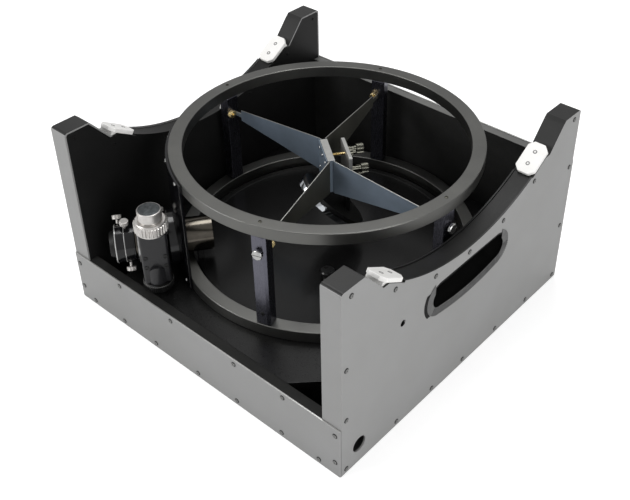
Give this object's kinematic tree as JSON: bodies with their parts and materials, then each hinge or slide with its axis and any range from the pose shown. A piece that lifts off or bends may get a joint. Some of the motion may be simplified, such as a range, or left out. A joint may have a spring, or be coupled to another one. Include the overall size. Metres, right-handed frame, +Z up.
{
  "type": "packed truss telescope base",
  "caption": "Low box with horned, arc-cut side walls for altitude bearings, carrying a mirror box and a round cage with spider, secondary mirror and focuser.",
  "frame": {"origin": "middle of the footprint, on the surface the box stands on", "axes": "+Z up, +X to the right and +Y to the back, seen from the low front panel; the side walls face -X and +X"},
  "size_m": [0.443, 0.436, 0.255],
  "materials": {
    "shell_coat": "satin powder coat, mid grey",
    "wall_liner": "satin black paint",
    "board_black": "matt black painted board",
    "cradle_strip": "fine textured charcoal laminate",
    "slick_pad": "smooth white PTFE",
    "rubber_trim": "ribbed black rubber",
    "laminate": "hard laminate",
    "mirror_box_coat": "satin black powder coat",
    "cover_gloss": "gloss black",
    "ring_coat": "dark grey satin anodising",
    "post_coat": "satin black anodising",
    "vane_sheet": "blue-grey satin sheet",
    "hub_alloy": "bead-blasted alloy",
    "brass": "plain turned brass",
    "bright_metal": "bright knurled metal",
    "focuser_gloss": "gloss black anodising",
    "knob_black": "black anodising with a bright knurl",
    "drawtube_metal": "polished metal",
    "plug_black": "matt black",
    "mirror_glass": "aluminised glass"
  },
  "bodies": {
    "rocker_box": {"left_wall_shell": "shell_coat", "left_wall_liner": "wall_liner", "left_cradle_strip": "cradle_strip", "left_front_pad": "slick_pad", "left_back_pad": "slick_pad", "left_handle_trim": "rubber_trim", "right_wall_shell": "shell_coat", "right_wall_liner": "wall_liner", "right_cradle_strip": "cradle_strip", "right_front_pad": "slick_pad", "right_back_pad": "slick_pad", "right_handle_trim": "rubber_trim", "front_panel_skin": "shell_coat", "front_panel_core": "board_black", "back_panel_skin": "shell_coat", "back_panel_core": "board_black", "bottom_pan": "board_black", "azimuth_ring": "laminate"},
    "mirror_box": {"mirror_box_shell": "mirror_box_coat", "cell_frame": "mirror_box_coat", "mirror_support": "mirror_box_coat", "primary_mirror": "mirror_glass"},
    "mirror_lid": {"mirror_cover": "cover_gloss"},
    "cage": {"upper_ring": "ring_coat", "lower_ring": "ring_coat", "post_1": "post_coat", "post_2": "post_coat", "post_3": "post_coat", "post_4": "post_coat", "vane_1": "vane_sheet", "vane_2": "vane_sheet", "vane_3": "vane_sheet", "vane_4": "vane_sheet", "spider_hub": "hub_alloy", "centre_rod": "brass", "focuser_plate": "focuser_gloss", "focuser_body": "focuser_gloss"},
    "secondary": {"knob_plate": "hub_alloy", "mirror_holder": "post_coat", "secondary_mirror": "mirror_glass"},
    "drawtube_set": {"drawtube": "drawtube_metal", "eyepiece_collar": "focuser_gloss"},
    "plug": {"eyepiece_plug": "plug_black"},
    "coarse_shaft": {"coarse_knob": "bright_metal", "lower_knob": "knob_black"},
    "fine_shaft": {"fine_knob": "bright_metal"},
    "tube_lock": {"drawtube_lock": "bright_metal"},
    "primary_bolt_1": {"collimation_bolt_1": "bright_metal"},
    "secondary_adjuster_1": {"secondary_knob_1": "bright_metal"},
    "eyepiece_clamp_1": {"eyepiece_screw_1": "bright_metal"},
    "primary_bolt_2": {"collimation_bolt_2": "bright_metal"},
    "secondary_adjuster_2": {"secondary_knob_2": "bright_metal"},
    "eyepiece_clamp_2": {"eyepiece_screw_2": "bright_metal"},
    "primary_bolt_3": {"collimation_bolt_3": "bright_metal"},
    "secondary_adjuster_3": {"secondary_knob_3": "bright_metal"},
    "eyepiece_clamp_3": {"eyepiece_screw_3": "bright_metal"},
    "vane_tensioner_1": {"clamp_knob_1": "bright_metal"},
    "vane_tensioner_2": {"clamp_knob_2": "bright_metal"},
    "vane_tensioner_3": {"clamp_knob_3": "bright_metal"},
    "vane_tensioner_4": {"clamp_knob_4": "bright_metal"}
  },
  "joints": [
    {"name": "mirror_box_lift", "type": "slide", "parent": "rocker_box", "child": "mirror_box", "axis": [0, 0, 1], "range_m": [0, 0.25]},
    {"name": "cage_lift", "type": "slide", "parent": "mirror_box", "child": "cage", "axis": [0, 0, 1], "range_m": [0, 0.25]},
    {"name": "lid_lift", "type": "slide", "parent": "mirror_box", "child": "mirror_lid", "axis": [0, 0, 1], "range_m": [0, 0.004]},
    {"name": "primary_bolt_1_turn", "type": "hinge", "parent": "mirror_box", "child": "primary_bolt_1", "pos_m": [0.002, -0.083, 0.02], "axis": [0, 0, 1], "range_deg": [-360, 360]},
    {"name": "primary_bolt_2_turn", "type": "hinge", "parent": "mirror_box", "child": "primary_bolt_2", "pos_m": [0.08427, 0.0595, 0.02], "axis": [0, 0, 1], "range_deg": [-360, 360]},
    {"name": "primary_bolt_3_turn", "type": "hinge", "parent": "mirror_box", "child": "primary_bolt_3", "pos_m": [-0.08027, 0.0595, 0.02], "axis": [0, 0, 1], "range_deg": [-360, 360]},
    {"name": "secondary_tilt", "type": "hinge", "parent": "cage", "child": "secondary", "pos_m": [0.0147, 0.02885, 0.198], "axis": [0.7986, -0.6018, 0], "range_deg": [-2.31, 2.31]},
    {"name": "secondary_adjuster_1_turn", "type": "hinge", "parent": "secondary", "child": "secondary_adjuster_1", "pos_m": [0.03049, 0.02259, 0.18501], "axis": [0.6018, 0.7986, 0], "range_deg": [-270, 270]},
    {"name": "secondary_adjuster_2_turn", "type": "hinge", "parent": "secondary", "child": "secondary_adjuster_2", "pos_m": [0.00948, 0.03842, 0.19618], "axis": [0.6018, 0.7986, 0], "range_deg": [-270, 270]},
    {"name": "secondary_adjuster_3_turn", "type": "hinge", "parent": "secondary", "child": "secondary_adjuster_3", "pos_m": [0.01226, 0.03633, 0.16781], "axis": [0.6018, 0.7986, 0], "range_deg": [-270, 270]},
    {"name": "vane_tensioner_1_turn", "type": "hinge", "parent": "cage", "child": "vane_tensioner_1", "pos_m": [0.06134, -0.16534, 0.188], "axis": [0.3173, -0.9483, 0], "range_deg": [-360, 360]},
    {"name": "vane_tensioner_2_turn", "type": "hinge", "parent": "cage", "child": "vane_tensioner_2", "pos_m": [0.18882, 0.00384, 0.188], "axis": [0.999, -0.0436, 0], "range_deg": [-360, 360]},
    {"name": "vane_tensioner_3_turn", "type": "hinge", "parent": "cage", "child": "vane_tensioner_3", "pos_m": [-0.05734, 0.18934, 0.188], "axis": [-0.3173, 0.9483, 0], "range_deg": [-360, 360]},
    {"name": "vane_tensioner_4_turn", "type": "hinge", "parent": "cage", "child": "vane_tensioner_4", "pos_m": [-0.18482, 0.02016, 0.188], "axis": [-0.999, 0.0436, 0], "range_deg": [-360, 360]},
    {"name": "drawtube_travel", "type": "slide", "parent": "cage", "child": "drawtube_set", "axis": [-0.6018, -0.7986, 0], "range_m": [0, 0.028]},
    {"name": "coarse_focus_turn", "type": "hinge", "parent": "cage", "child": "coarse_shaft", "pos_m": [-0.09126, -0.18819, 0.12], "axis": [0, 0, 1], "range_deg": [0, 200.54]},
    {"name": "fine_focus_turn", "type": "hinge", "parent": "cage", "child": "fine_shaft", "pos_m": [-0.09126, -0.18819, 0.178], "axis": [0, 0, 1], "range_deg": [0, 2005.4]},
    {"name": "plug_out", "type": "slide", "parent": "drawtube_set", "child": "plug", "axis": [-0.6018, -0.7986, 0], "range_m": [0, 0.026]},
    {"name": "eyepiece_clamp_1_turn", "type": "hinge", "parent": "drawtube_set", "child": "eyepiece_clamp_1", "pos_m": [-0.1638, -0.18486, 0.1264], "axis": [-0.4581, 0.3452, 0.8192], "range_deg": [-360, 360]},
    {"name": "eyepiece_clamp_2_turn", "type": "hinge", "parent": "drawtube_set", "child": "eyepiece_clamp_2", "pos_m": [-0.1462, -0.18748, 0.13074], "axis": [0.0557, -0.042, 0.9976], "range_deg": [-360, 360]},
    {"name": "eyepiece_clamp_3_turn", "type": "hinge", "parent": "drawtube_set", "child": "eyepiece_clamp_3", "pos_m": [-0.13695, -0.19257, 0.08546], "axis": [0.3993, -0.3009, -0.866], "range_deg": [-360, 360]},
    {"name": "tube_lock_turn", "type": "hinge", "parent": "cage", "child": "tube_lock", "pos_m": [-0.13221, -0.14481, 0.1306], "axis": [-0.3749, 0.2825, 0.8829], "range_deg": [-360, 360]}
  ],
  "couplings": [
    {"joint": "coarse_focus_turn", "follows": "drawtube_travel", "rad_per_m": 125},
    {"joint": "fine_focus_turn", "follows": "drawtube_travel", "rad_per_m": 1250},
    {"joint": "secondary_adjuster_1_turn", "follows": "secondary_tilt", "ratio": 116.59}
  ]
}
